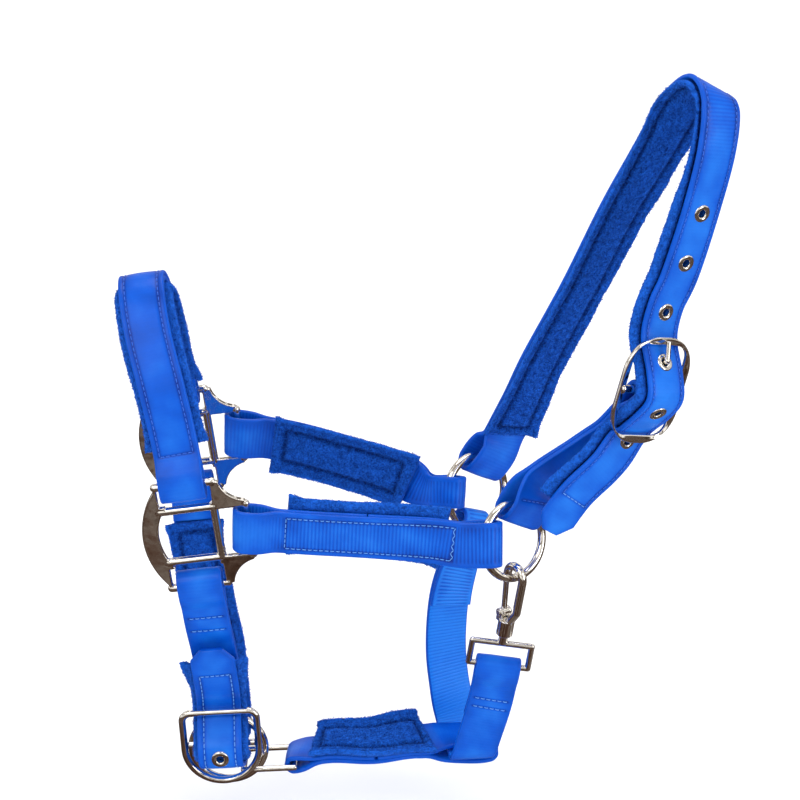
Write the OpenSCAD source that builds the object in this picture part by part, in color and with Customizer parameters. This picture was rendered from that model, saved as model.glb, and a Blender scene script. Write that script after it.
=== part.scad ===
// Padded head halter for a horse, buckled and clipped as it hangs ready to wear.
// Units are millimetres. +X runs from the nose to the poll, +Z is up, and the near
// (left) side of the animal, where it is buckled and clipped, is toward -Y.
// Every strap is one ribbon carried along a guide line of a few named control rows,
// each row being a point of the strap's middle and the direction across the strap.

/* [Webbing] */
// Width of the webbing
web_w = 25; // [22:0.5:26]
// Thickness of one ply of webbing
ply = 2.8; // [2.2:0.1:2.8]
// Width of the cheek and nose pads
pad_w = 34; // [30:1:36]
// Thickness of the cheek and nose pads
pad_t = 5; // [3:0.5:6]
// Width of the crown and chin pads
thin_pad_w = 32; // [28:1:33]
// Thickness of the crown and chin pads
thin_pad_t = 4.5; // [3:0.5:4.5]

/* [Rings and bars] */
// Outside diameter of the cheek rings and the lead ring
ring_od = 46; // [44:0.5:46]
// Wire radius of the rings
ring_wire = 2.3; // [1.8:0.1:2.3]
// Bar radius of the cheek squares
bar_r = 2.3; // [1.8:0.1:2.3]
// Thickness of the cheek square's side plate
plate_t = 3.6; // [3:0.2:4.4]

/* [Crown buckle] */
// Outside length of the buckle frame
buckle_len = 62; // [61:0.5:63]
// Outside width of the buckle frame
buckle_w = 46; // [44:1:48]
// Distance between eyelets
eyelet_pitch = 29; // [28:0.5:30]
// Bore of an eyelet
eyelet_bore = 4.4; // [3.8:0.2:4.8]

/* [Snap hook] */
// Wire radius of the hook
hook_wire = 2.4; // [2:0.1:2.5]
// Inside width of the swivel eye
eye_w = 30; // [28:1:32]

/* [Hidden] */
slack = 0.25;
ply_gap = 0.15;
pad_gap = 1.0;
swing_slack = 1.6;
ring_slack = 0.45;
square_slack = 1.6;
square_away = 2.4;
bunch = 7;
ring_r = ring_od / 2 - ring_wire;
sag = ring_r - sqrt(ring_r * ring_r - web_w * web_w / 4);
half_ply = (ply + ply_gap) / 2;
pad_n = -(half_ply + ply / 2 + pad_gap + pad_t / 2);
thin_pad_n = -(ply / 2 + pad_gap + thin_pad_t / 2);
crown_pad_n = thin_pad_n - 0.25;
dense_steps = 8;
span_step = 3.6;
wrap_steps = 7;
taper = 13;
hole_half = 3;
flange_r = 5;

ring_face = unit([0.61, -0.75, 0.25]);
near_ring_at = [62, -52, -61];
far_ring_at = [43.5, 30, -71.5];
near_square_at = [-114.5, -60, -53.5];
far_square_at = [-125, 60, -53.5];
square_lean = 7.5;

// ---------- vectors ----------
function unit(v) = v / norm(v);
function mix(a, b, f) = a + (b - a) * f;
function ease(f) = f * f * (3 - 2 * f);
function across_to(a, t) = unit(a - (a * t) * t);

// The spoke of a ring that points most nearly along d, and the wire's run there
function spoke(d) = unit(d - (d * ring_face) * ring_face);
function wire_at(c, d) = c + ring_r * spoke(d);
function wire_run(d) = cross(ring_face, spoke(d));
// Rows through a ring's wire at p, running square to the wire there, toward t
function leads(p, a, t, before, after) = let (h = across_to(t, a))
    [for (d = [-before, 0, after]) concat(p + d * h, a)];

// ---------- guide lines ----------
function curve4(a, b, c, d, u) =
    0.5 * (2 * b + (c - a) * u + (2 * a - 5 * b + 4 * c - d) * u * u
    + (3 * b - a - 3 * c + d) * u * u * u);
function dense(p) = let (n = len(p) - 1) concat(
    [for (i = [0:n - 1]) for (k = [0:dense_steps - 1])
        curve4(p[max(i - 1, 0)], p[i], p[i + 1], p[min(i + 2, n)], k / dense_steps)],
    [p[n]]);
function head3(p) = [p[0], p[1], p[2]];
function tail3(p) = [p[3], p[4], p[5]];
function runs(q, i = 0, s = 0, out = []) =
    i == len(q) ? out
    : runs(q, i + 1, s + (i + 1 < len(q) ? norm(head3(q[i + 1]) - head3(q[i])) : 0), concat(out, [s]));
// A guide is six look-up tables against distance, and the distances themselves
function guide(p) = let (q = dense(p), s = runs(q))
    concat([for (c = [0:5]) [for (i = [0:len(q) - 1]) [s[i], q[i][c]]]], [s]);
function row_s(g, i) = g[6][i * dense_steps];
function end_s(g) = g[6][len(g[6]) - 1];
function at(g, s) = [for (c = [0:5]) lookup(s, g[c])];
function along(g, s) = unit(head3(at(g, s + 0.4)) - head3(at(g, s - 0.4)));
function across(g, s) = across_to(tail3(at(g, s)), along(g, s));
function outward(g, s) = cross(across(g, s), along(g, s));
function put(g, s, n) = head3(at(g, s)) + n * outward(g, s);

// ---------- folds ----------
// A fold is [middle s, middle n, radius, s of the bar]
function bar_fold(g, i, loose = 0, away = 0) = [row_s(g, i) + away, 0, bar_r + slack + loose + ply / 2, row_s(g, i)];
function ring_fold(g, i, dir, d, loose = 0) = let (
    s = row_s(g, i),
    v = -sag * spoke(d),
    e = v * along(g, s) * dir,
    n = v * outward(g, s))
    [s + dir * max(0, e), n / 2, ring_wire + slack + loose + ply / 2 + abs(n) / 2, s - dir * loose];
function steps(a, b, step) = let (n = max(1, ceil(abs(b - a) / step))) [for (k = [0:n]) mix(a, b, k / n)];
function cut_first(v) = len(v) < 2 ? [] : [for (k = [1:len(v) - 1]) v[k]];
// Limb of a fold from the body of the strap at height n out to the wrap, on side +1 or -1
function limb(f, dir, side, n) = let (a = f[3] - dir * (ring_wire + 1), b = a - dir * taper)
    concat([for (k = [0:4]) [mix(b, a, k / 4), mix(n, f[1] + side * f[2], ease(k / 4))]],
    [[f[0], f[1] + side * f[2]]]);
function wrap(f, dir, side) = [for (k = [1:wrap_steps - 1]) let (w = 180 * k / wrap_steps)
    [f[0] + dir * f[2] * sin(w), f[1] + side * f[2] * cos(w)]];
function back(v) = [for (k = [len(v) - 1:-1:0]) v[k]];
function limb_s(f, dir) = f[3] - dir * (ring_wire + 1 + taper);
function level(a, b, n) = [for (s = steps(a, b, span_step)) [s, n]];
// Two plies the whole way, wrapped round a bar at each end, joined on the inside
function band(f0, f1) = let (
    a = limb_s(f0, -1),
    b = limb_s(f1, 1),
    m = (a + b) / 2)
    concat(
        level(m - 0.3, a, -half_ply),
        cut_first(limb(f0, -1, -1, -half_ply)), wrap(f0, -1, -1), back(limb(f0, -1, 1, half_ply)),
        cut_first(level(a, b, half_ply)),
        cut_first(limb(f1, 1, 1, half_ply)), wrap(f1, 1, 1), back(limb(f1, 1, -1, -half_ply)),
        cut_first(level(b, m + 0.3, -half_ply)));
// One ply, folded back on the inside at the start over a given length
function start_fold(f0, tuck) = let (a = limb_s(f0, -1), n = -(ply + ply_gap)) concat(
    level(a + tuck, a, n),
    cut_first(limb(f0, -1, -1, n)), wrap(f0, -1, -1), back(limb(f0, -1, 1, 0)));
function end_fold(f1, tuck) = let (a = limb_s(f1, 1), n = -(ply + ply_gap)) concat(
    limb(f1, 1, 1, 0), wrap(f1, 1, 1), back(limb(f1, 1, -1, n)),
    cut_first(level(a, a - tuck, n)));

// ---------- ribbons ----------
// Stations are [centre, across, width, open]
function stations(g, v, w) = [for (q = v) [put(g, q[0], q[1]), across(g, q[0]), w, 0]];
// The same with the webbing drawn in where it passes the ring at s
function bunched(g, v, s) = [for (q = v) let (d = abs(q[0] - s))
    [put(g, q[0], q[1]), across(g, q[0]), web_w - bunch * (1 - ease(min(1, max(0, d - 9) / 16))), 0]];
function heading(st, i) = unit(st[min(i + 1, len(st) - 1)][0] - st[max(i - 1, 0)][0]);

module ribbon(st, t) {
    n = len(st);
    pts = [for (i = [0:n - 1]) let (
        h = heading(st, i),
        a = across_to(st[i][1], h),
        b = cross(a, h) * t / 2,
        w = a * st[i][2] / 2,
        c = st[i][0]) each [c + w + b, c - w + b, c - w - b, c + w - b]];
    side = [for (i = [0:n - 2]) for (k = [0:3]) let (
        p = 4 * i + k,
        q = 4 * i + (k + 1) % 4) each [[p, q, q + 4], [p, q + 4, p + 4]]];
    e = 4 * (n - 1);
    caps = [[0, 3, 2], [0, 2, 1], [e, e + 1, e + 2], [e, e + 2, e + 3]];
    polyhedron(points = pts, faces = concat(side, caps));
}

// The same with square openings through the middle wherever a station is marked open
module open_ribbon(st, t) {
    n = len(st);
    pts = [for (i = [0:n - 1]) let (
        h = heading(st, i),
        a = across_to(st[i][1], h),
        b = cross(a, h) * t / 2,
        w = a * st[i][2] / 2,
        m = a * min(hole_half, st[i][2] / 4),
        c = st[i][0]) each [c + w + b, c + m + b, c - m + b, c - w + b, c - w - b, c - m - b, c + m - b, c + w - b]];
    side = [for (i = [0:n - 2]) for (k = [0:7]) let (
        p = 8 * i + k,
        q = 8 * i + (k + 1) % 8) each (st[i][3] > 0 && (k == 1 || k == 5)) ? [] : [[p, q, q + 8], [p, q + 8, p + 8]]];
    inner = [for (i = [0:n - 2]) each st[i][3] > 0 ? let (p = 8 * i) concat(
        [[p + 1, p + 14, p + 9], [p + 1, p + 6, p + 14], [p + 2, p + 10, p + 13], [p + 2, p + 13, p + 5]],
        st[i - 1][3] > 0 ? [] : [[p + 1, p + 5, p + 6], [p + 1, p + 2, p + 5]],
        st[i + 1][3] > 0 ? [] : [[p + 9, p + 14, p + 13], [p + 9, p + 13, p + 10]]) : []];
    e = 8 * (n - 1);
    caps = [for (k = [0:2]) each [[k, 7 - k, 6 - k], [k, 6 - k, k + 1],
        [e + k, e + 6 - k, e + 7 - k], [e + k, e + k + 1, e + 6 - k]]];
    polyhedron(points = pts, faces = concat(side, inner, caps));
}

// ---------- placing hardware ----------
// Local x, y, z axes u, v, w at point p
module frame_at(p, u, v, w) {
    multmatrix([[u[0], v[0], w[0], p[0]], [u[1], v[1], w[1], p[1]], [u[2], v[2], w[2], p[2]]]) children();
}
module face_to(p, w, hint) {
    u = unit(hint - (hint * w) * w);
    frame_at(p, u, cross(w, u), w) children();
}
module rod(a, b, r) {
    d = b - a;
    hint = abs(d[2]) > 0.9 * norm(d) ? [1, 0, 0] : [0, 0, 1];
    face_to(a, unit(d), hint) cylinder(h = norm(d), r = r, $fn = 32);
}
module knuckle(p, r) translate(p) sphere(r = r, $fn = 32);
module rods(p, r, closed = false) {
    for (i = [0:len(p) - 2]) rod(p[i], p[i + 1], r);
    if (closed) rod(p[len(p) - 1], p[0], r);
    for (q = p) knuckle(q, r);
}
module tube(inside, outside, h) difference() {
    cylinder(h = h, r = outside, center = true, $fn = 48);
    cylinder(h = h + 2, r = inside, center = true, $fn = 48);
}
module ring(wire, middle) rotate_extrude($fn = 96) translate([middle, 0]) circle(r = wire, $fn = 32);

// ---------- guide rows ----------
function nose_rows() = [
    [-116, -62, -39, 1, 0.05, 0.13],
    [-118.2, -60, -22.5, 0.99, 0, 0.13],
    [-122, -53, -1, 0.98, 0.05, 0.18],
    [-129, -42, 27, 0.98, 0.05, 0.18],
    [-136, -28, 50, 0.99, 0.05, 0.15],
    [-140, -14, 67, 0.99, 0.05, 0.15],
    [-141, 0, 73, 0.99, 0.05, 0.14],
    [-139, 12, 64, 0.99, 0.05, 0.12],
    [-136, 24, 42, 0.99, 0, 0.12],
    [-133, 38, 15, 0.99, 0, 0.12],
    [-130, 52, -8, 0.99, 0, 0.13],
    [-128.7, 60, -22.5, 0.99, 0, 0.13],
    [-126, 63, -39, 0.99, 0, 0.13]];
near_cheek_dir = [-1, 0, 0];
far_cheek_dir = [-1, 0, 0.06];
function near_cheek_rows() = let (p = wire_at(near_ring_at, near_cheek_dir), a = wire_run(near_cheek_dir)) [
    [-98, -60, -49, 0.13, 0, -0.99],
    [-82, -60, -49.5, 0.13, 0, -0.99],
    [-50, -61, -51.5, 0.08, 0, -1],
    [-18, -62, -53, 0, 0, -1],
    [16, -63, -55, 0, -0.15, -0.98],
    each leads(p, a, [1, 0, -0.07], 14, 16)];
function far_cheek_rows() = let (p = wire_at(far_ring_at, far_cheek_dir), a = -wire_run(far_cheek_dir)) [
    [-108, 61, -49, -0.13, 0, 0.99],
    [-92.4, 60, -49.6, -0.13, 0, 0.99],
    [-64, 57, -53, -0.06, 0.05, 0.99],
    [-34, 48, -57.5, 0, 0.1, 0.99],
    [-2, 33, -61.5, 0, 0.2, 0.98],
    each leads(p, a, [0.9, -0.42, -0.08], 14, 16)];

// Buckle frame: u runs down the strap, n stands off its outer face
buckle_at = [134.8, -46, 27.4];
buckle_u = unit([-0.255, -0.129, -0.958]);
buckle_x = across_to([-0.8, -0.53, 0.28], buckle_u);
buckle_n = cross(buckle_x, buckle_u);
rim_w = 5;
rim_t = 3;
rim_u = buckle_len / 2 - rim_w / 2;
function on_buckle(u, n) = buckle_at + u * buckle_u + n * buckle_n;
function buckle_row(u, n) = concat(on_buckle(u, n), buckle_x);

crown_dir = [0.55, 0, 0.8];
function crown_rows() = let (p = wire_at(far_ring_at, crown_dir), a = wire_run(crown_dir)) concat([
    each leads(p, a, [0.59, 0.04, 0.81], 15, 16),
    [68, 34, -15, -0.7, -0.5, 0.5],
    [78, 31, 12, -0.66, -0.55, 0.51],
    [99, 27, 58, -0.62, -0.57, 0.54],
    [120, 22, 107, -0.64, -0.5, 0.59],
    [138, 19, 142, -0.62, -0.35, 0.7],
    [151.5, 12.5, 169.5, -0.7, -0.2, 0.68],
    [162.5, 0, 184, -0.8, -0.2, 0.58],
    [169, -15, 179.8, -0.82, -0.35, 0.45],
    [167.5, -23.5, 157, -0.81, -0.46, 0.36],
    [160, -28, 124, -0.81, -0.5, 0.3],
    [150, -30, 88, -0.79, -0.47, 0.36]],
    [buckle_row(-46, -7), buckle_row(-rim_u, -5), buckle_row(-13, 7), buckle_row(0, 13.5),
     buckle_row(13, 7), buckle_row(rim_u, -5)], [
    [111.5, -55, -14, -0.66, -0.42, 0.62],
    [95, -61, -29, -0.66, -0.4, 0.64],
    [81, -66, -48, -0.68, -0.38, 0.62]]);
function billet_rows() = let (p = wire_at(near_ring_at, crown_dir), a = -wire_run(crown_dir)) [
    each leads(p, a, [0.62, 0.17, 0.77], 15, 15),
    [100, -35, -16, 0.66, 0.35, -0.65],
    concat(on_buckle(rim_u + 4, -20), [0.72, 0.45, -0.5]),
    concat(on_buckle(14, -9.5), -buckle_x),
    concat(on_buckle(0, 0), -buckle_x),
    concat(on_buckle(-13, 7), -buckle_x)];

throat_dir = [-0.46, 0, -0.89];
function throat_rows() = let (p = wire_at(far_ring_at, throat_dir), a = wire_run(throat_dir)) [
    each leads(p, a, [-0.32, -0.24, -0.92], 15, 15),
    [28.5, 11, -128, 0.86, 0.35, -0.25],
    [26.5, 8, -160, 0.86, 0.35, -0.2],
    [29, 4, -186, 0.88, 0.35, -0.2],
    [32.5, 1, -202, 0.93, 0.2, -0.1],
    [35, -8, -208, 1, 0.1, -0.02],
    [38, -20, -209, 1, 0.1, 0],
    [40.5, -35, -208.5, 1, 0.1, 0]];
function throat_near_rows() = [
    [38, -20, -209, 1, 0.1, 0],
    [40.5, -35, -208.5, 1, 0.1, 0],
    [42, -42, -202.5, 1, 0.1, 0],
    [45.5, -45, -188, 1, 0.05, -0.05],
    [51, -49, -164, 1, 0, -0.1],
    [54.8, -51.5, -139.5, 1, 0, -0.1],
    [57, -52, -124, 1, 0, -0.1]];

// Chin frame, standing upright on the near side
chin_at = [-100.8, -54, -190];
chin_x = unit([1, 0, 0.06]);
chin_n = [0, -1, 0];
chin_u = cross(chin_x, chin_n);
function on_chin(u, n) = chin_at + u * chin_u + n * chin_n;
function chin_row(u, n) = concat(on_chin(u, n), chin_x);
chin_bar_n = -2;
function chin_rows() = concat([
    [-123, 60, -68, 0.99, 0, 0.13],
    [-120.9, 60, -84, 0.99, 0, 0.13],
    [-119.5, 56, -107, 0.99, 0.05, 0.1],
    [-114.5, 42, -136, 0.99, 0.05, 0.1],
    [-106, 20, -168, 1, 0.05, 0.06],
    [-101.5, -8, -192, 1, 0, 0.06],
    [-100, -26, -202, 1, 0, 0.06],
    [-99.5, -40, -206.5, 1, 0, 0.06],
    [-99.5, -52.6, -203.3, 1, 0, 0.06]],
    [concat(on_chin(5, 12.2), chin_x), concat(on_chin(-6, 12.3), chin_x), concat(on_chin(-21.5, -4.4), chin_x)], [
    [-102.5, -53, -154, 1, 0, 0.06],
    [-104, -56.5, -138, 1, 0, 0.08],
    [-105, -60, -125, 1, 0, 0.08]]);
function chin_billet_rows() = [
    [-111.5, -60, -68, -0.99, 0, -0.13],
    [-109.6, -60, -83.8, -0.99, 0, -0.13],
    [-107, -56, -108, -0.99, 0, -0.1],
    [-104.5, -45.5, -132, -1, 0, -0.08],
    [-102.5, -38, -153, -1, 0, -0.06],
    concat(on_chin(-21.5, -16.3), -chin_x),
    concat(on_chin(-12, -10.8), -chin_x),
    concat(on_chin(0, chin_bar_n), -chin_x),
    concat(on_chin(9, 4), -chin_x)];

link_at = [-74.5, -32, -212];
link_lean = 3;
link_roll = 8;
link_x = 14.5;
link_y = 15;
link_wire = 1.7;
function jaw_rows() = let (p = link_at + [link_x, 0, 1]) [
    [p[0] - 14, p[1], p[2] - 2, 0, 0.99, -0.14],
    [p[0], p[1], p[2], 0, 0.99, -0.14],
    [-40, -34, -204, -0.05, 1, 0],
    [-16, -35, -203, -0.1, 0.98, 0.12],
    [4, -28, -203, -0.1, 0.95, 0.2],
    [22, -21.5, -207.5, -0.1, 0.98, 0.06],
    [38, -20, -209, -0.1, 1, 0],
    [56, -20, -209, -0.1, 1, 0]];

nose_g = guide(nose_rows());
near_cheek_g = guide(near_cheek_rows());
far_cheek_g = guide(far_cheek_rows());
crown_g = guide(crown_rows());
billet_g = guide(billet_rows());
throat_g = guide(throat_rows());
throat_near_g = guide(throat_near_rows());
chin_g = guide(chin_rows());
chin_billet_g = guide(chin_billet_rows());
jaw_g = guide(jaw_rows());

blue = [0.02, 0.25, 0.85];
pad_blue = [0.05, 0.2, 0.65];
steel = [0.8, 0.8, 0.82];

// Everything is set down so that the origin is the middle of the whole halter
origin_at = [11.6, -3, -16.2];
module web() color(blue) translate(-origin_at) children();
module pad() color(pad_blue) translate(-origin_at) children();
module metal() color(steel) translate(-origin_at) children();

// ---------- noseband and cheeks ----------
module noseband_strap() web()
    ribbon(stations(nose_g, band(bar_fold(nose_g, 1, square_slack, -square_away), bar_fold(nose_g, 11, square_slack, square_away)), web_w), ply);
module noseband_fleece() pad()
    ribbon(stations(nose_g, level(row_s(nose_g, 1) + 20, row_s(nose_g, 11) - 20, pad_n), pad_w), pad_t);
module near_cheek_strap() web()
    ribbon(stations(near_cheek_g, band(bar_fold(near_cheek_g, 1, square_slack, -square_away), ring_fold(near_cheek_g, 6, 1, near_cheek_dir, ring_slack)), web_w), ply);
module near_cheek_fleece() pad()
    ribbon(stations(near_cheek_g, level(row_s(near_cheek_g, 1) + 20, row_s(near_cheek_g, 6) - 22, pad_n), pad_w), pad_t);
module far_cheek_strap() web()
    ribbon(bunched(far_cheek_g, band(bar_fold(far_cheek_g, 1, square_slack, -square_away),
        ring_fold(far_cheek_g, 6, 1, far_cheek_dir, ring_slack)), row_s(far_cheek_g, 6)), ply);
module far_cheek_fleece() pad()
    ribbon(stations(far_cheek_g, level(row_s(far_cheek_g, 1) + 20, row_s(far_cheek_g, 6) - 22, pad_n), pad_w), pad_t);

// ---------- cheek squares ----------
win_x = 15.5;
win_z = 16;
slot_z = 31;
slot_x = 32.8;
slot_half = 14.2;
module square_plate() rotate([90, 0, 0]) translate([0, 0, -plate_t / 2]) linear_extrude(plate_t) children();
module cheek_square_body() {
    rods([[-win_x + 1, 0, win_z], [win_x, 0, win_z], [win_x, 0, -win_z + 1], [-win_x + 1, 0, -win_z + 1]], bar_r);
    rod([-15, 0, slot_z], [16.5, 0, slot_z], bar_r);
    rod([-15, 0, -slot_z], [16.5, 0, -slot_z], bar_r);
    rod([slot_x, 0, 15.5], [slot_x, 0, -15.5], bar_r);
    for (p = [[-15, slot_z], [16.5, slot_z], [-15, -slot_z], [16.5, -slot_z], [slot_x, 15.5], [slot_x, -15.5]])
        knuckle([p[0], 0, p[1]], bar_r);
    square_plate() intersection() {
        translate([20, 0]) circle(r = 46, $fn = 128);
        difference() {
            translate([-30, -32.5]) square([30, 65]);
            translate([14, 0]) circle(r = 31, $fn = 128);
            for (m = [0, 1]) mirror([0, m]) translate([-slot_half, 18.8]) square([30, 20]);
        }
    }
    for (m = [0, 1]) mirror([0, 0, m]) square_plate() difference() {
        translate([win_x - 1.5, win_z - 1.5]) square([slot_x - win_x + 1.5, slot_z - win_z + 1.5]);
        translate([slot_x + 2.5, slot_z + 2.5]) circle(r = 15.5, $fn = 96);
        translate([0, 18.8]) square([slot_half + 1, 20]);
    }
}
module near_cheek_square() metal() translate(near_square_at) rotate([0, -square_lean, 0]) cheek_square_body();
module far_cheek_square() metal() translate(far_square_at) rotate([0, -square_lean, 0]) cheek_square_body();

// ---------- rings ----------
module near_ring() metal() face_to(near_ring_at, ring_face, [1, 0, 0]) ring(ring_wire, ring_r);
module far_ring() metal() face_to(far_ring_at, ring_face, [1, 0, 0]) ring(ring_wire, ring_r);

// ---------- crown ----------
tongue_s = row_s(crown_g, 15) + 14.5;
eyelet_first = -3;
eyelet_last = 2;
function eyelet_s(i) = tongue_s + i * eyelet_pitch;
crown_start = ring_fold(crown_g, 1, -1, crown_dir, swing_slack);
crown_tip_s = end_s(crown_g);
crown_tip_len = 8;
crown_pad_s0 = limb_s(crown_start, -1) + 4;
crown_pad_s1 = crown_tip_s - 16;
// Distances of a run with every opening's two edges among them
function run_with_holes(a, b, holes) = let (
    cuts = concat([a], [for (h = holes) each [h[0], h[1]]], [b]))
    [for (k = [0:len(cuts) - 2]) let (v = steps(cuts[k], cuts[k + 1], span_step), last = k == len(cuts) - 2)
        each [for (j = [0:len(v) - (last ? 1 : 2)]) [v[j], k % 2]]];
module crown_strap() web() {
    holes = [for (i = [eyelet_first:eyelet_last]) [eyelet_s(i) - hole_half, eyelet_s(i) + hole_half]];
    a = limb_s(crown_start, -1);
    fold = stations(crown_g, start_fold(crown_start, 3), web_w);
    body = [for (q = cut_first(run_with_holes(a, crown_tip_s - crown_tip_len, holes)))
        [put(crown_g, q[0], 0), across(crown_g, q[0]), web_w, q[1]]];
    tip = [for (k = [1:2]) let (s = crown_tip_s - crown_tip_len + k * crown_tip_len / 2)
        [put(crown_g, s, 0), across(crown_g, s), web_w - k * 7, 0]];
    open_ribbon(concat(fold, body, tip), ply);
}
// The pad is drawn in, and eased off the strap, round the tight bend at the poll
function poll_near(s) = let (m = (row_s(crown_g, 10) + row_s(crown_g, 11)) / 2) ease(max(0, 1 - abs(s - m) / 52));
function crown_pad_ease(s) = 0.8 * poll_near(s);
function crown_pad_w(s) = thin_pad_w - 6.5 * poll_near(s);
module crown_fleece() pad() {
    holes = [for (i = [eyelet_first:eyelet_last]) let (s = eyelet_s(i))
        i == 0 ? [s - hole_half, s + 13] : [s - hole_half, s + hole_half]];
    st = [for (q = run_with_holes(crown_pad_s0, crown_pad_s1, holes))
        [put(crown_g, q[0], crown_pad_n - crown_pad_ease(q[0])), across(crown_g, q[0]), crown_pad_w(q[0]), q[1]]];
    open_ribbon(st, thin_pad_t);
}
module eyelet() {
    bore = eyelet_bore / 2;
    face = ply / 2 + 0.05;
    rim = 0.7;
    rotate_extrude($fn = 48) difference() {
        translate([bore, -face - rim]) square([flange_r - bore, 2 * (face + rim)]);
        translate([hole_half - 0.1, -face]) square([flange_r, 2 * face]);
    }
}
module eyelet_on(g, s) face_to(put(g, s, 0), outward(g, s), across(g, s)) eyelet();
module crown_eyelets() metal()
    for (i = [eyelet_first:eyelet_last]) eyelet_on(crown_g, eyelet_s(i));
module crown_billet() web() {
    v = band(ring_fold(billet_g, 1, -1, crown_dir, swing_slack), bar_fold(billet_g, 6));
    s1 = row_s(billet_g, 6);
    open_ribbon([for (q = v) [put(billet_g, q[0], q[1]), across(billet_g, q[0]), web_w,
        q[0] > s1 - 8.5 ? 1 : 0]], ply);
}
module crown_buckle_frame() metal() frame_at(buckle_at, -buckle_x, buckle_u, -cross(buckle_x, buckle_u) * -1) {
    translate([0, 0, -rim_t / 2]) linear_extrude(rim_t) difference() {
        rounded(buckle_w, buckle_len, 20);
        rounded(buckle_w - 2 * rim_w, buckle_len - 2 * rim_w, 8);
    }
    rod([-buckle_w / 2 + 2.4, 0, 0], [buckle_w / 2 - 2.4, 0, 0], bar_r);
}
module rounded(w, h, r) {
    square([w - 2 * r, h], center = true);
    square([w, h - 2 * r], center = true);
    for (x = [-1, 1]) for (y = [-1, 1]) translate([x * (w / 2 - r), y * (h / 2 - r)]) circle(r = r, $fn = 96);
}
module crown_buckle_tongue() metal() {
    wire = 1.5;
    a = on_buckle(-bar_r - slack - wire - 0.15, 0.5);
    b = put(crown_g, tongue_s, -3.6);
    c = put(crown_g, tongue_s, 3.6);
    d = on_buckle(-rim_u - 1, rim_t / 2 + 0.15 + wire);
    rod(a, b, wire - 0.05);
    knuckle(b, wire + 0.1);
    rod(b, c, wire);
    knuckle(c, wire + 0.1);
    rod(c, d, wire);
    frame_at(buckle_at, -buckle_u, buckle_n, -buckle_x)
        tube(bar_r + slack, bar_r + slack + 2 * wire + 0.3, 2 * wire + 0.8);
}

// ---------- throat ----------
module throat_strap() web() {
    f = ring_fold(throat_g, 1, -1, throat_dir, ring_slack);
    ribbon(concat(bunched(throat_g, start_fold(f, 30), row_s(throat_g, 1)),
        stations(throat_g, cut_first(level(limb_s(f, -1), end_s(throat_g) - 0.6, 0)), web_w)), ply);
}
module throat_near_leg() web() {
    f = bar_fold(throat_near_g, 5);
    ribbon(concat(stations(throat_near_g, level(row_s(throat_near_g, 1) + 0.6, limb_s(f, 1), 0), web_w),
        stations(throat_near_g, cut_first(end_fold(f, 22)), web_w)), ply);
}

// ---------- snap hook ----------
hook_dir = [-0.15, 0, -1];
hook_at = wire_at(near_ring_at, hook_dir);
eye_at = [54.8, -51.5, -139.5];
snap_z = unit(hook_at - eye_at);
snap_y = across_to(wire_run(hook_dir), snap_z);
snap_x = cross(snap_y, snap_z);
eye_x = across_to([1, 0, -0.1], snap_z);
eye_y = cross(snap_z, eye_x);
snap_len = norm(hook_at - eye_at);
eye_wire = 1.7;
eye_h = 15;
hook_r = 6.5;
barrel_z = -34;
neck_z = -snap_len + eye_h + eye_wire;
module on_snap() frame_at(hook_at, snap_x, snap_y, snap_z) children();
module on_eye() frame_at(hook_at, eye_x, eye_y, snap_z) children();
module snap_hook_body() metal() on_snap() {
    rotate([90, 0, 0]) rotate_extrude(angle = 204, $fn = 64)
        translate([hook_r, 0]) circle(r = hook_wire, $fn = 32);
    rod([hook_r, 0, 0], [hook_r, 0, -20], hook_wire);
    rod([hook_r, 0, -20], [1.5, 0, barrel_z + 4], hook_wire);
    knuckle([hook_r, 0, -20], hook_wire);
    translate([0, 0, barrel_z - 4]) cylinder(h = 10, r = 4.6, $fn = 48);
    for (y = [-1, 1]) translate([gate_pin[0], y * (ear_in + ear_t / 2), gate_pin[2]]) rotate([90, 0, 0])
        linear_extrude(ear_t, center = true) difference() {
            union() {
                circle(r = 2.6, $fn = 48);
                translate([-1.6, -5]) square([4.2, 5]);
            }
            circle(r = 1.05, $fn = 32);
        }
}
gate_pin = [-3.6, 0, barrel_z + 9];
ear_in = 2.2;
ear_t = 1.5;
module snap_gate() metal() on_snap() {
    rod([-hook_r, 0, -4.6], [gate_pin[0] - 0.25, 0, gate_pin[2] + 1.6], 1.6);
    translate(gate_pin) rotate([90, 0, 0]) tube(1.1, 2.6, 4);
}
module snap_gate_pin() metal() on_snap() translate(gate_pin) rotate([90, 0, 0]) {
    cylinder(h = 2 * (ear_in + ear_t) + 0.8, r = 1, center = true, $fn = 32);
    for (y = [-1, 1]) translate([0, 0, y * (ear_in + ear_t + 0.3)]) cylinder(h = 0.6, r = 1.7, center = true, $fn = 32);
}
module snap_swivel_eye() metal() on_eye() {
    x = eye_w / 2 + eye_wire;
    z0 = -snap_len;
    z1 = -snap_len + eye_h;
    rods([[-x, 0, z0], [x, 0, z0], [x, 0, z1], [-x, 0, z1]], eye_wire, true);
    translate([0, 0, z1]) cylinder(h = barrel_z - 4.3 - z1, r = 2.6, $fn = 32);
}

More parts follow.
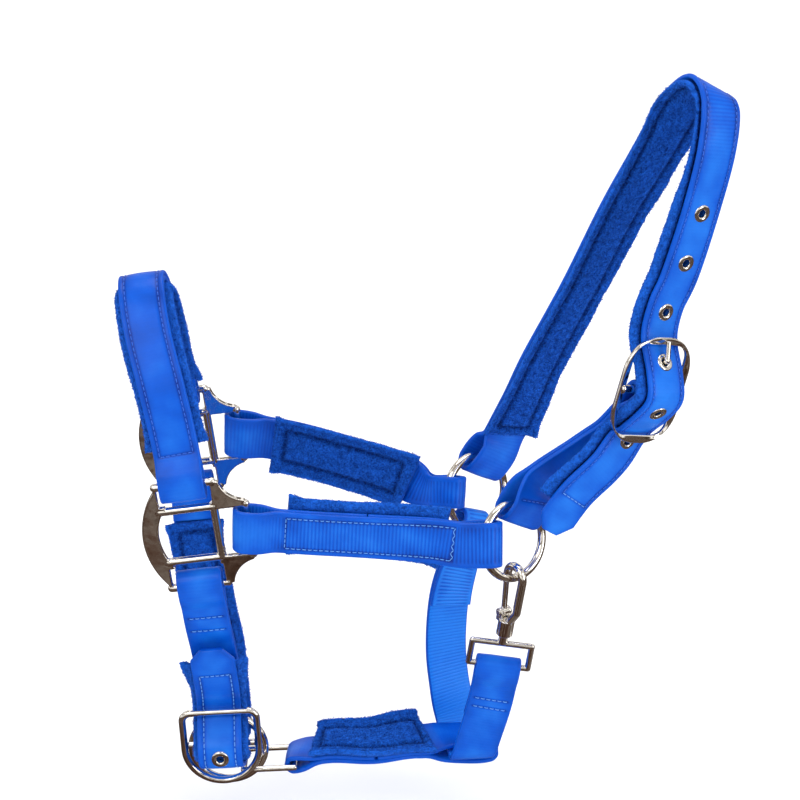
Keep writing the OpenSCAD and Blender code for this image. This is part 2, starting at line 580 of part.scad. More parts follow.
// ---------- chin ----------
chin_start = bar_fold(chin_g, 1, square_slack, -square_away);
chin_tip_s = end_s(chin_g);
chin_eyelet_s = row_s(chin_g, 9) + 5.5;
chin_pad_s0 = limb_s(chin_start, -1) + 4;
chin_pad_s1 = chin_tip_s - 14;
module chin_strap() web() {
    a = limb_s(chin_start, -1);
    hole = [[chin_eyelet_s - hole_half, chin_eyelet_s + hole_half]];
    fold = stations(chin_g, start_fold(chin_start, 3), web_w);
    body = [for (q = cut_first(run_with_holes(a, chin_tip_s - crown_tip_len, hole)))
        [put(chin_g, q[0], 0), across(chin_g, q[0]), web_w, q[1]]];
    tip = [for (k = [1:2]) let (s = chin_tip_s - crown_tip_len + k * crown_tip_len / 2)
        [put(chin_g, s, 0), across(chin_g, s), web_w - k * 6, 0]];
    open_ribbon(concat(fold, body, tip), ply);
}
function chin_pad_w(s) = let (b = row_s(chin_g, 7)) abs(s - b) < 14 ? 27 : thin_pad_w;
module chin_fleece() pad() {
    hole = [[chin_eyelet_s - hole_half, chin_eyelet_s + hole_half]];
    st = [for (q = run_with_holes(chin_pad_s0, chin_pad_s1, hole))
        [put(chin_g, q[0], thin_pad_n), across(chin_g, q[0]), chin_pad_w(q[0]), q[1]]];
    open_ribbon(st, thin_pad_t);
}
module chin_eyelet() metal() eyelet_on(chin_g, chin_eyelet_s);
module chin_billet() web()
    ribbon(stations(chin_billet_g, band(bar_fold(chin_billet_g, 1, square_slack, -square_away), bar_fold(chin_billet_g, 7)), web_w), ply);
chin_wire = 2;
chin_half = 21;
module chin_buckle_frame() metal() frame_at(chin_at, chin_x, -chin_u, chin_n) {
    r = 15;
    top = 21.5;
    bend = 5;
    rod([-chin_half + bend, top, 0], [chin_half - bend, top, 0], chin_wire);
    for (x = [-1, 1]) {
        rod([x * chin_half, top - bend, 0], [x * chin_half, -2, 0], chin_wire);
        translate([x * (chin_half - bend), top - bend, 0]) rotate([0, 0, x > 0 ? 0 : 90])
            rotate_extrude(angle = 90, $fn = 64) translate([bend, 0]) circle(r = chin_wire, $fn = 32);
    }
    translate([0, -2, 0]) rotate([0, 0, 180]) rotate_extrude(angle = 180, $fn = 96)
        translate([chin_half, 0]) circle(r = chin_wire, $fn = 32);
    rod([-chin_half, 0, chin_bar_n + 0.4], [chin_half, 0, chin_bar_n + 0.4], bar_r - 0.4);
}
lead_ring_at = [-98, -36, -202.3];
module lead_ring() metal() face_to(lead_ring_at, [0, -1, 0], [1, 0, 0]) ring(ring_wire, ring_r);
module jaw_link() metal() translate(link_at) rotate([-link_roll, -link_lean, 0])
    rods([[-link_x, -link_y, 0], [link_x, -link_y, 0], [link_x, link_y, 0], [-link_x, link_y, 0]], link_wire, true);
module jaw_strap() web() {
    s = row_s(jaw_g, 6);
    f = [s + 12.7, 0, ply + 1.6, s - 12.7 + ring_wire];
    ribbon(stations(jaw_g, band(bar_fold(jaw_g, 1), f), web_w), ply);
}
module jaw_fleece() pad()
    ribbon(stations(jaw_g, level(row_s(jaw_g, 1) + 14, row_s(jaw_g, 5) - 10, pad_n), pad_w), pad_t);

noseband_strap();
noseband_fleece();
near_cheek_square();
far_cheek_square();
near_cheek_strap();
near_cheek_fleece();
far_cheek_strap();
far_cheek_fleece();
near_ring();
far_ring();
crown_strap();
crown_fleece();
crown_eyelets();
crown_billet();
crown_buckle_frame();
crown_buckle_tongue();
throat_strap();
throat_near_leg();
snap_hook_body();
snap_gate();
snap_gate_pin();
snap_swivel_eye();
chin_strap();
chin_fleece();
chin_eyelet();
chin_billet();
chin_buckle_frame();
lead_ring();
jaw_link();
jaw_strap();
jaw_fleece();
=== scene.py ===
import math

import bmesh
import bpy
import numpy as np
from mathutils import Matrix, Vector, noise


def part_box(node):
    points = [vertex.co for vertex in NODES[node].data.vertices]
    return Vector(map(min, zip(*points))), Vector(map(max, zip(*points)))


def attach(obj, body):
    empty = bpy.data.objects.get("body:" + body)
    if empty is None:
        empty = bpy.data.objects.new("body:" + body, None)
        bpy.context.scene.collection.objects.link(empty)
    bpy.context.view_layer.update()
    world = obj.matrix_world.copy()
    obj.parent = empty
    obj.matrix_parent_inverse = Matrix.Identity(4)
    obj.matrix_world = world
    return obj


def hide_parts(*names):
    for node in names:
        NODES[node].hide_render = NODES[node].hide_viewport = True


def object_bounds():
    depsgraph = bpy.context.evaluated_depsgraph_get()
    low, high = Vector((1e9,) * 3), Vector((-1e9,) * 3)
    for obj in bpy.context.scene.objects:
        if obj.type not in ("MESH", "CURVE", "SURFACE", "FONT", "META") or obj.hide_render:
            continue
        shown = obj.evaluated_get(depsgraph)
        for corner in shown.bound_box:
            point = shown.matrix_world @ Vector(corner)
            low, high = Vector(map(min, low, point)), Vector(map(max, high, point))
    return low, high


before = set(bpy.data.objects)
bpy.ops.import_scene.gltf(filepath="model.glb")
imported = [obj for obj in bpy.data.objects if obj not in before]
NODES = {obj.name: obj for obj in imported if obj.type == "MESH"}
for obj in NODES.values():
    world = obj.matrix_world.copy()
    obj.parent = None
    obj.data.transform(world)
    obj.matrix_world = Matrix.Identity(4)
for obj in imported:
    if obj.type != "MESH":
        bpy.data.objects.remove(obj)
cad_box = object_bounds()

MM = 0.001

RIB_PITCH = 2.0 * MM        # across-ribs of the webbing
RIB_FULL = 0.34             # mm, the depth at which ribs are darkest
STITCH_PITCH = 3.1 * MM
STITCH_GAP = 0.75 * MM      # bare webbing between two stitches
STITCH_TROUGH = 0.34 * MM   # how far the thread pulls the face in
SEW_V = 9.4 * MM            # sewn lines of the pads, each side of the middle
EYELET_CLEAR = 3.7 * MM     # radius of the opening left in the webbing round an eyelet
TUFT_AREA = 4e-6            # faces larger than this, such as end caps, grow no fibres


# ---------------------------------------------------------------- helpers
def unit(v):
    v = np.asarray(v, float)
    return v / np.maximum(np.linalg.norm(v, axis=-1, keepdims=True), 1e-12)


def smooth(x, a, b):
    """0 below a, 1 above b, eased between."""
    f = np.clip((np.asarray(x, float) - a) / (b - a), 0, 1)
    return f * f * (3 - 2 * f)


def middle(node):
    lo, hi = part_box(node)
    return (np.array(lo) + np.array(hi)) / 2


def speckle(points, scale, seed):
    """Smooth noise of roughly -1..1 at each point; scale is the size of a lump in metres."""
    off = Vector((seed * 7.13, seed * 3.71, seed * 5.37))
    return np.array([noise.noise(Vector(p) / scale + off) for p in points])


def set_shade(me, values):
    """How light each point is drawn, 0 to 1, as painted light and shade, read by shaded()."""
    me.attributes.new("shade", "FLOAT", "POINT").data.foreach_set("value", values)


def rib_wave(s):
    """1 on the crest of a rib, 0 in the groove."""
    return (0.5 + 0.5 * np.cos(s * 2 * math.pi / RIB_PITCH)) ** 0.6


def new_mesh(name, verts, faces, mats, face_mat=None, uv=None, shade=None):
    me = bpy.data.meshes.new(name)
    me.from_pydata([tuple(v) for v in verts], [], faces)
    for m in mats:
        me.materials.append(m)
    me.polygons.foreach_set("use_smooth", [True] * len(me.polygons))
    if face_mat is not None:
        me.polygons.foreach_set("material_index", list(face_mat))
    if uv is not None:
        layer = me.uv_layers.new(name="UVMap")
        idx = np.empty(len(me.loops), dtype=np.int32)
        me.loops.foreach_get("vertex_index", idx)
        layer.data.foreach_set("uv", np.asarray(uv, float)[idx].ravel())
    if shade is not None:
        set_shade(me, np.asarray(shade, float))
    me.update()
    o = bpy.data.objects.new(name, me)
    bpy.context.scene.collection.objects.link(o)
    return o


class Build:
    """Collects grids and tubes, with a material number each, into one mesh."""

    def __init__(self):
        self.v, self.f, self.m, self.uv, self.shade, self.n = [], [], [], [], [], 0

    def grid(self, pts, mat=0, uv=None, round_ring=True, caps=True, skip=None, shade=None):
        n, m = pts.shape[:2]
        base = self.n
        self.v.append(pts.reshape(-1, 3))
        self.shade.append(np.full(n * m, 0.5) if shade is None else np.clip(shade, 0, 1).reshape(-1))
        self.uv.append(np.zeros((n * m, 2)) if uv is None else uv.reshape(-1, 2))
        self.n += n * m
        for i in range(n - 1):
            for k in range(m if round_ring else m - 1):
                if skip is not None and skip[i, k]:
                    continue
                q = (k + 1) % m
                a = base + i * m
                self.f.append((a + k, a + q, a + m + q, a + m + k))
                self.m.append(mat)
        if caps and round_ring:
            self.f.append(tuple(base + k for k in range(m))[::-1])
            self.f.append(tuple(base + (n - 1) * m + k for k in range(m)))
            self.m += [mat, mat]

    def tube(self, path, radius, mat=0, sides=6):
        path = np.asarray(path, float)
        t = unit(np.gradient(path, axis=0))
        hint = np.array([0.31, 0.17, 0.93])
        if abs(np.dot(t[0], hint)) > 0.9:
            hint = np.array([0.9, -0.3, 0.1])
        u = unit(np.cross(t, hint))
        w = np.cross(t, u)
        r = np.broadcast_to(np.asarray(radius, float), (len(path),))
        ang = np.arange(sides) * 2 * math.pi / sides
        ring = (u[:, None] * np.cos(ang)[None, :, None] + w[:, None] * np.sin(ang)[None, :, None])
        self.grid(path[:, None] + ring * r[:, None, None], mat)

    def done(self, name, mats):
        o = new_mesh(name, np.vstack(self.v), self.f, mats, self.m, np.vstack(self.uv), np.concatenate(self.shade))
        bm = bmesh.new()
        bm.from_mesh(o.data)
        bmesh.ops.recalc_face_normals(bm, faces=bm.faces)
        bm.to_mesh(o.data)
        bm.free()
        return o


# ---------------------------------------------------------------- reading a ribbon of the frame
class Rail:
    """The stations of one CAD ribbon, from end to end, resampled finely.

    c is the middle, w the direction across and t the direction off the outer face."""

    def __init__(self, node, first, pad_of=None):
        bm = bmesh.new()
        bm.from_mesh(NODES[node].data)
        bmesh.ops.remove_doubles(bm, verts=bm.verts, dist=2e-5)
        bmesh.ops.triangulate(bm, faces=bm.faces)
        rows = self.layers(bm)
        if rows is None:
            raise SystemExit("ribbon %s is not layered as expected" % node)
        bm.free()
        c, w, t, hw, ht = [], [], [], [], []
        for r in rows:
            m = r.mean(axis=0)
            axes = np.linalg.svd(r - m)[2]
            u, b = axes[0], axes[1]
            if w and np.dot(w[-1], u) < 0:
                u = -u
            if t and np.dot(t[-1], b) < 0:
                b = -b
            c.append(m)
            w.append(u)
            t.append(b)
            hw.append(abs((r - m) @ u).max())
            ht.append(abs((r - m) @ b).max())
        c, w, t, hw, ht = map(np.array, (c, w, t, hw, ht))
        if np.linalg.norm(c[0] - first) > np.linalg.norm(c[-1] - first) and pad_of is not None:
            c, w, t, hw, ht = c[::-1], w[::-1], t[::-1], hw[::-1], ht[::-1]
        knots = np.concatenate([[0], np.cumsum(np.linalg.norm(np.diff(c, axis=0), axis=1))])
        s = np.arange(0, knots[-1], 0.2 * MM)
        self.s = np.append(s, knots[-1]) if knots[-1] - s[-1] > 1e-6 else s
        self.c = self.curve(knots, c)
        w = self.curve(knots, w)
        tan = unit(np.gradient(self.c, self.s, axis=0))
        w = unit(w - (w * tan).sum(1)[:, None] * tan)
        b = np.cross(w, tan)
        if np.dot(b[0], t[0]) < 0:
            b = -b
        self.w, self.t = w, b
        self.hw = np.interp(self.s, knots, hw)
        self.ht = np.interp(self.s, knots, ht)
        bend = np.gradient(tan, self.s, axis=0)
        size = np.linalg.norm(bend, axis=1)
        self.folds = []
        if pad_of is None:
            tight = size > 1 / (8 * MM)
            i = 0
            while i < len(tight):
                if tight[i]:
                    j = i
                    while j < len(tight) and (tight[j] or self.s[j] - self.s[i] < 4 * MM):
                        j += 1
                    if self.s[j - 1] - self.s[i] > 5 * MM:
                        self.folds.append((self.s[i], self.s[j - 1]))
                    i = j
                i += 1
            k = int(np.argmax(size))
            if np.dot(bend[k], self.t[k]) > 0:
                self.t = -self.t
            if len(self.folds) > 1:
                a, z = self.at(sum(self.folds[0]) / 2)[0], self.at(sum(self.folds[-1]) / 2)[0]
            else:
                a, z = self.c[0], self.c[-1]
            if np.linalg.norm(a - first) > np.linalg.norm(z - first):
                self.flip()
        else:
            k = len(self.s) // 2
            near = pad_of.c[np.argmin(np.linalg.norm(pad_of.c - self.c[k], axis=1))]
            if np.dot(near - self.c[k], self.t[k]) > 0:
                self.t = -self.t
        # start and end of the outer ply
        end = self.s[-1]
        f = self.folds
        self.a = f[0][1] if f and f[0][0] < end / 2 else 0
        self.b = f[-1][0] if f and f[-1][1] > end / 2 else end

    @staticmethod
    def layers(bm):
        """The ribbon's vertices station by station, walked from one of its end faces."""
        for a in bm.verts:
            if 2 * math.pi - sum(l.calc_angle() for l in a.link_loops) < 1.35:
                continue
            for f in a.link_faces:
                n = f.normal
                layer, seen = [a], {a}
                for v in layer:
                    for e in v.link_edges:
                        o = e.other_vert(v)
                        if o not in seen and abs((o.co - a.co).dot(n)) < 2e-5 and len(layer) < 9:
                            seen.add(o)
                            layer.append(o)
                per, rows = len(layer), []
                if per not in (4, 8):
                    continue
                while layer and len(layer) == per:
                    rows.append(np.array([v.co for v in layer]))
                    nxt = []
                    for v in layer:
                        for e in v.link_edges:
                            o = e.other_vert(v)
                            if o not in seen:
                                seen.add(o)
                                nxt.append(o)
                    layer = nxt
                if not layer and len(seen) == len(bm.verts):
                    return rows
        return None

    def flip(self):
        end = self.s[-1]
        self.s = end - self.s[::-1]
        for k in ("c", "w", "t", "hw", "ht"):
            setattr(self, k, getattr(self, k)[::-1])
        self.folds = [(end - b, end - a) for a, b in self.folds[::-1]]

    def curve(self, knots, p):
        """Cubic through stations that may be unevenly spaced."""
        d = np.diff(knots)[:, None]
        slope = np.diff(p, axis=0) / d
        tan = np.vstack([slope[:1], (slope[:-1] * d[1:] + slope[1:] * d[:-1]) / (d[1:] + d[:-1]), slope[-1:]])
        i = np.clip(np.searchsorted(knots, self.s, side="right") - 1, 0, len(knots) - 2)
        h = np.diff(knots)[i][:, None]
        f = ((self.s - knots[i])[:, None]) / h
        return ((1 + 2 * f) * (1 - f) ** 2 * p[i] + f * (1 - f) ** 2 * h * tan[i]
                + f * f * (3 - 2 * f) * p[i + 1] + f * f * (f - 1) * h * tan[i + 1])

    def at(self, s):
        def look(a):
            return np.stack([np.interp(s, self.s, a[:, k]) for k in range(3)], axis=-1)
        return (look(self.c), unit(look(self.w)), unit(look(self.t)),
                np.interp(s, self.s, self.hw), np.interp(s, self.s, self.ht))

    def put(self, s, v, h):
        """Points at distance s, v across and h off the middle."""
        c, w, t, _, _ = self.at(s)
        return c + w * np.asarray(v)[..., None] + t * np.asarray(h)[..., None]


# ---------------------------------------------------------------- materials
def material(name, color, rough, metal=0.0, **extra):
    m = bpy.data.materials.new(name)
    m.use_nodes = True
    b = m.node_tree.nodes["Principled BSDF"]
    b.inputs["Base Color"].default_value = (*color, 1)
    b.inputs["Roughness"].default_value = rough
    b.inputs["Metallic"].default_value = metal
    for k, v in extra.items():
        b.inputs[k.replace("_", " ")].default_value = v
    return m, m.node_tree, b


def noise_node(tree, scale, detail, coord):
    n = tree.nodes.new("ShaderNodeTexNoise")
    n.inputs["Scale"].default_value = scale
    n.inputs["Detail"].default_value = detail
    n.inputs["Roughness"].default_value = 0.6
    tree.links.new(coord.outputs["Object"], n.inputs["Vector"])
    return n


def ramp(tree, source, stops):
    r = tree.nodes.new("ShaderNodeValToRGB")
    while len(r.color_ramp.elements) < len(stops):
        r.color_ramp.elements.new(0.5)
    for e, (p, c) in zip(r.color_ramp.elements, stops):
        e.position = p
        e.color = (*c, 1)
    tree.links.new(source, r.inputs["Fac"])
    return r


def bump(tree, source, strength, distance, target, under=None):
    b = tree.nodes.new("ShaderNodeBump")
    b.inputs["Strength"].default_value = strength
    b.inputs["Distance"].default_value = distance
    tree.links.new(source, b.inputs["Height"])
    if under is not None:
        tree.links.new(under.outputs["Normal"], b.inputs["Normal"])
    tree.links.new(b.outputs["Normal"], target.inputs["Normal"])
    return b


def shaded(tree, stops, noise, weight):
    """Base colour from the painted light and shade stored on the mesh's points, broken up a little by noise."""
    at = tree.nodes.new("ShaderNodeAttribute")
    at.attribute_name = "shade"
    m = tree.nodes.new("ShaderNodeMath")
    m.operation = "MULTIPLY_ADD"
    m.inputs[1].default_value = weight
    tree.links.new(noise, m.inputs[0])
    less = tree.nodes.new("ShaderNodeMath")
    less.operation = "SUBTRACT"
    less.inputs[1].default_value = weight / 2
    tree.links.new(at.outputs["Fac"], less.inputs[0])
    tree.links.new(less.outputs[0], m.inputs[2])
    return ramp(tree, m.outputs[0], stops)


def webbing_material(name, deep, body, bright):
    m, tree, b = material(name, body, 0.34, Coat_Weight=0.07, Coat_Roughness=0.2, Specular_IOR_Level=0.17)
    co = tree.nodes.new("ShaderNodeTexCoord")
    slow = noise_node(tree, 60, 3, co)
    col = shaded(tree, [(0.1, deep), (0.5, body), (0.9, bright)], slow.outputs["Fac"], 0.35)
    tree.links.new(col.outputs["Color"], b.inputs["Base Color"])
    grain = noise_node(tree, 1500, 4, co)
    r = ramp(tree, grain.outputs["Fac"], [(0.3, (0.26,) * 3), (0.7, (0.40,) * 3)])
    tree.links.new(r.outputs["Color"], b.inputs["Roughness"])
    first = bump(tree, grain.outputs["Fac"], 0.3, 0.00012, b)
    # a twill of threads running with the strap
    wave = tree.nodes.new("ShaderNodeTexWave")
    wave.bands_direction = "DIAGONAL"
    wave.inputs["Scale"].default_value = 5.5
    wave.inputs["Distortion"].default_value = 0.6
    tree.links.new(co.outputs["UV"], wave.inputs["Vector"])
    bump(tree, wave.outputs["Fac"], 0.14, 0.00012, b, first)
    return m


def fleece_material(name, dark, light):
    m, tree, b = material(name, light, 0.95, Sheen_Weight=0.25, Sheen_Roughness=0.4, Specular_IOR_Level=0.1)
    b.inputs["Sheen Tint"].default_value = (0.10, 0.32, 1.0, 1)
    co = tree.nodes.new("ShaderNodeTexCoord")
    nap = noise_node(tree, 1050, 5, co)
    lump = noise_node(tree, 360, 3, co)
    mix = tree.nodes.new("ShaderNodeMath")
    mix.operation = "MULTIPLY_ADD"
    mix.inputs[1].default_value = 0.35
    tree.links.new(lump.outputs["Fac"], mix.inputs[0])
    half = tree.nodes.new("ShaderNodeMath")
    half.operation = "MULTIPLY"
    half.inputs[1].default_value = 0.65
    tree.links.new(nap.outputs["Fac"], half.inputs[0])
    tree.links.new(half.outputs[0], mix.inputs[2])
    mid = tuple((a + c) / 2 for a, c in zip(dark, light))
    col = shaded(tree, [(0.05, dark), (0.5, mid), (0.95, light)], mix.outputs[0], 2.6)
    tree.links.new(col.outputs["Color"], b.inputs["Base Color"])
    bump(tree, mix.outputs[0], 0.8, 0.0010, b)
    return m


def thread_material(name, color):
    m, tree, b = material(name, color, 0.6, **{"Sheen_Weight": 0.2})
    co = tree.nodes.new("ShaderNodeTexCoord")
    twist = noise_node(tree, 2600, 2, co)
    bump(tree, twist.outputs["Fac"], 0.5, 0.0002, b)
    return m


def metal_material(name, color, rough):
    m, tree, b = material(name, color, rough, 1.0)
    co = tree.nodes.new("ShaderNodeTexCoord")
    wear = noise_node(tree, 240, 5, co)
    r = ramp(tree, wear.outputs["Fac"], [(0.35, (rough * 0.7,) * 3), (0.75, (rough * 1.9,) * 3)])
    tree.links.new(r.outputs["Color"], b.inputs["Roughness"])
    ripple = noise_node(tree, 70, 2, co)
    bump(tree, ripple.outputs["Fac"], 0.22, 0.0012, b)
    return m


WEB = webbing_material("blue_coated_webbing", (0.0, 0.026, 0.26), (0.0, 0.092, 0.60), (0.016, 0.220, 0.84))
FLEECE = fleece_material("blue_fleece", (0.0, 0.014, 0.12), (0.012, 0.125, 0.66))
THREAD = thread_material("blue_thread", (0.01, 0.13, 0.70))
PALE = thread_material("pale_thread", (0.10, 0.34, 0.86))
NICKEL = metal_material("nickel_plate", (0.90, 0.87, 0.82), 0.075)
WEB_MATS = [WEB, THREAD, PALE]
THREAD_R = np.array([0.16, 0.25, 0.28, 0.28, 0.25, 0.16]) * MM


# ---------------------------------------------------------------- webbing
def near_line(x, at, width):
    return np.exp(-((x - at) / width) ** 2)


class Stitching:
    """Lines of stitches on the outer face of a rail, each with the shallow trough the thread pulls."""

    def __init__(self, rail):
        self.rail, self.long, self.cross, self.zig = rail, [], [], []

    def along(self, s0, s1, v, mat=1):
        self.long.append((s0, s1, v, mat))

    def over(self, s, v0, v1, mat=1, zig=0.0):
        self.cross.append((s, v0, v1, mat, zig))

    def rectangle(self, s0, s1, inset, mat=1, end_mat=None, zig=0.0):
        v = self.rail.hw[len(self.rail.hw) // 2] - inset
        self.along(s0, s1, v, mat)
        self.along(s0, s1, -v, mat)
        self.over(s0, -v, v, mat)
        self.over(s1, -v, v, mat if end_mat is None else end_mat, zig)

    def trough(self, s, v):
        d = np.zeros(np.broadcast(s, v).shape)
        for s0, s1, at, _ in self.long:
            on = smooth(s, s0 - 1.5 * MM, s0) * (1 - smooth(s, s1, s1 + 1.5 * MM))
            d = np.maximum(d, on * near_line(v, at, 0.9 * MM))
        for at, v0, v1, _, _ in self.cross:
            on = smooth(v, v0 - 1.5 * MM, v0) * (1 - smooth(v, v1, v1 + 1.5 * MM))
            d = np.maximum(d, on * near_line(s, at, 0.9 * MM))
        return d * STITCH_TROUGH

    def sew(self, build, lift):
        arc = np.array([-0.35, 0.16, 0.3, 0.3, 0.16, -0.35]) * MM
        for s0, s1, v, mat in self.long:
            n = max(1, int(round((s1 - s0) / STITCH_PITCH)))
            for k in range(n):
                a = s0 + (s1 - s0) * k / n + STITCH_GAP / 2
                b = s0 + (s1 - s0) * (k + 1) / n - STITCH_GAP / 2
                s = a + (b - a) * np.array([0, 0.12, 0.35, 0.65, 0.88, 1])
                build.tube(self.rail.put(s, np.full(6, v), lift(s, v) + arc), THREAD_R, mat, 5)
        for at, v0, v1, mat, zig in self.cross:
            n = max(1, int(round((v1 - v0) / STITCH_PITCH * (1.6 if zig else 1))))
            for k in range(n):
                a, b = v0 + (v1 - v0) * k / n, v0 + (v1 - v0) * (k + 1) / n
                f = np.array([0, 0.12, 0.35, 0.65, 0.88, 1])
                trim = 0 if zig else STITCH_GAP / 2
                v = (a + trim) + (b - a - 2 * trim) * f
                s = at + zig * (f - 0.5) * (1 if k % 2 else -1)
                build.tube(self.rail.put(s, v, lift(s, v) + arc), THREAD_R, mat, 5)


def strap(name, rail, ribs, plan, holes=(), puff=0.0, seed=1, light_level=0.0):
    """Coated webbing: rounded edges, a smooth raised border, ribs across it and stitched lines."""
    step = 0.5 * MM
    n = max(8, int(rail.s[-1] / step))
    s = np.linspace(0, rail.s[-1], n + 1)
    c, w, t, hw, ht = rail.at(s)
    top = np.linspace(-1, 1, 25)
    edge = 1.05 * MM
    v_top = top[None, :] * (hw[:, None] - edge)
    sg, vg = np.broadcast_arrays(s[:, None], v_top)

    def rib_at(sv):
        """How strongly the strap is ribbed at s: a full table of (s, depth), or one depth."""
        if isinstance(ribs, (int, float)):
            return np.full(np.shape(sv), float(ribs))
        at = [rail.a + a * MM if a >= 0 else rail.b + a * MM for a, _ in ribs]
        return np.interp(sv, at, [d for _, d in ribs])

    def groove(sv, vv, hwv):
        return (1 - smooth(np.abs(vv), hwv - 3.4 * MM, hwv - 2.3 * MM)) * (1 - rib_wave(sv))

    def outer(sv, vv, hwv, htv):
        dome = puff * MM * (1 - (np.clip(np.abs(vv) / np.maximum(hwv - 3 * MM, 1e-4), 0, 1)) ** 2)
        return htv - rib_at(sv) * MM * groove(sv, vv, hwv) - plan.trough(sv, vv) + dome

    h_top = outer(sg, vg, hw[:, None], ht[:, None])
    # painted shade: the rib grooves and the stitch troughs are drawn darker
    dark = (np.minimum(rib_at(sg) / RIB_FULL, 1) * groove(sg, vg, hw[:, None]) * 0.40
            + plan.trough(sg, vg) / STITCH_TROUGH * 0.30)
    drift = speckle(np.stack([sg.ravel(), vg.ravel(), np.zeros(sg.size)], 1), 9 * MM, seed).reshape(sg.shape)
    h_top = h_top + 0.10 * MM * drift
    # painted light: slow patches along the strap drawn lighter and darker, plus the painted light level given for
    # this strap
    broad = speckle(np.stack([s, 0 * s, 0 * s], 1), 30 * MM, seed + 40)[:, None] * 0.14 + light_level
    # painted light: the middle of the face is drawn lighter and its edges darker, as light falls across the strap
    lit = 0.20 * (1 - (v_top[:1] / v_top[0, -1]) ** 2) - 0.10
    bot = np.linspace(1, -1, 11)
    v_bot = bot[None, :] * (hw[:, None] - edge)
    rb = rib_wave(s[:, None])
    inner = np.full_like(s, ribs if isinstance(ribs, (int, float)) else max(d for _, d in ribs))[:, None] * 0.7
    h_bot = -(ht[:, None] - inner * MM * (1 - rb)) * np.ones_like(v_bot)
    # painted shade: the rib grooves of the back face are drawn darker
    dark_bot = np.minimum(inner / 0.30, 1) * (1 - rb) * 0.30 * np.ones_like(v_bot)
    arc = np.radians([62, 34, 8, -20, -48])
    side_h = ht[:, None] - edge
    rv = hw[:, None] - edge + edge * np.cos(arc)[None, :]
    rh = np.where(np.sin(arc) > 0, side_h + edge * np.sin(arc), -side_h + edge * np.sin(arc))
    lv, lh = -rv[:, ::-1], rh[:, ::-1]
    v = np.concatenate([v_top, rv, v_bot, lv], axis=1)
    h = np.concatenate([h_top, rh, h_bot, lh], axis=1)
    pts = c[:, None] + w[:, None] * v[..., None] + t[:, None] * h[..., None]
    uv = np.stack([np.broadcast_to(s[:, None], v.shape) / (10 * MM), v / (10 * MM)], -1)
    rim = np.full_like(rv, 0.46)
    # the outer face starts from 0.52, and the back face is painted lighter, from 0.62
    shade = np.concatenate([0.52 - dark + 0.10 * drift + lit + broad, rim, 0.62 - dark_bot + broad, rim], axis=1)
    build = Build()
    m = v.shape[1]
    skip = np.zeros((n, m), bool)
    for p, axis in holes:
        mid = (pts[:-1] + pts[1:]) / 2
        mid = (mid + np.roll(mid, -1, axis=1)) / 2
        d = mid - p
        off = (d * axis).sum(-1)
        flat = np.linalg.norm(d - off[..., None] * axis, axis=-1)
        skip |= (flat < EYELET_CLEAR) & (np.abs(off) < 5 * MM)
    build.grid(pts, 0, uv, skip=skip, shade=shade)
    plan.sew(build, lambda sv, vv: outer(np.asarray(sv), np.asarray(vv), *rail.at(sv)[3:]))
    return build.done(name, WEB_MATS)


